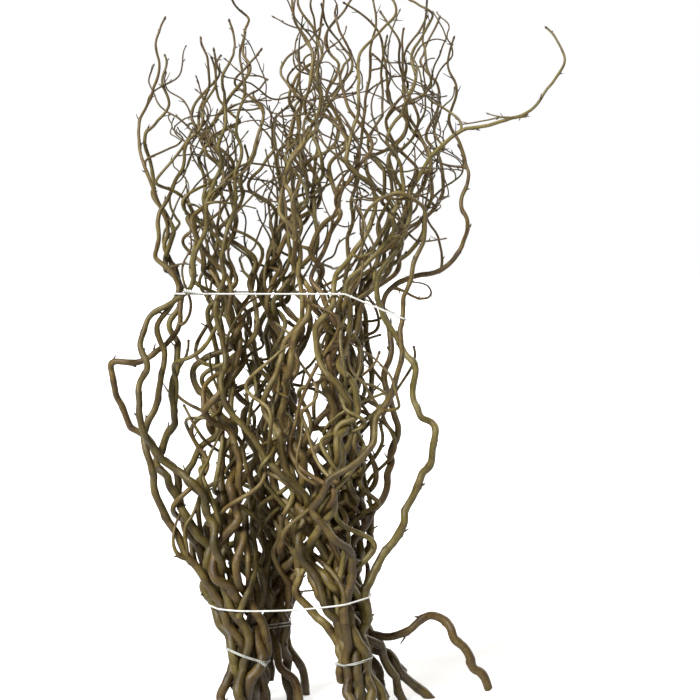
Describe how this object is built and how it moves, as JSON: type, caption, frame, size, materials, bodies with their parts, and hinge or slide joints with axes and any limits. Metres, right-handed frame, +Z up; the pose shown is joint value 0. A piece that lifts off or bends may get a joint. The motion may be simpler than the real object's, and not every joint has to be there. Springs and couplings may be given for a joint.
{
  "type": "tied bunch of contorted hazel branches",
  "caption": "Upright bunch of crooked, leafless contorted hazel branches with forked twigs, held by white ties near the feet, at the waist and under the crown.",
  "frame": {"origin": "on the floor, under the middle of the bunch's bounding box", "axes": "+Z up along the bunch, -Y to the side that faces the viewer in the picture, +X to the viewer's right"},
  "size_m": [0.611, 0.2618, 0.9957],
  "materials": {
    "bark": "satin olive-brown bark",
    "tie": "smooth white coating over tying wire"
  },
  "bodies": {
    "root": {"branch_right_outer": "bark", "branch_right_second": "bark", "branch_arch": "bark", "branch_diagonal": "bark", "branch_elbow": "bark", "branch_spike": "bark", "branch_bow": "bark", "branch_prop": "bark", "branch_left_front_1": "bark", "branch_left_front_2": "bark", "branch_left_front_3": "bark", "branch_left_front_4": "bark", "branch_left_front_5": "bark", "branch_left_front_6": "bark", "branch_left_back_1": "bark", "branch_left_back_2": "bark", "branch_left_back_3": "bark", "branch_left_back_4": "bark", "branch_left_back_5": "bark", "branch_left_back_6": "bark", "branch_left_back_7": "bark", "branch_left_back_8": "bark", "branch_right_front_1": "bark", "branch_right_front_2": "bark", "branch_right_front_3": "bark", "branch_right_front_4": "bark", "branch_right_front_5": "bark", "branch_right_front_6": "bark", "branch_right_back_1": "bark", "branch_right_back_2": "bark", "branch_right_back_3": "bark", "branch_right_back_4": "bark", "branch_right_back_5": "bark", "branch_right_back_6": "bark", "branch_right_back_7": "bark", "branch_right_back_8": "bark", "tie_left_front": "tie", "tie_left_back": "tie", "tie_right_front": "tie", "tie_right_back": "tie", "tie_waist": "tie", "tie_crown": "tie"}
  },
  "joints": []
}
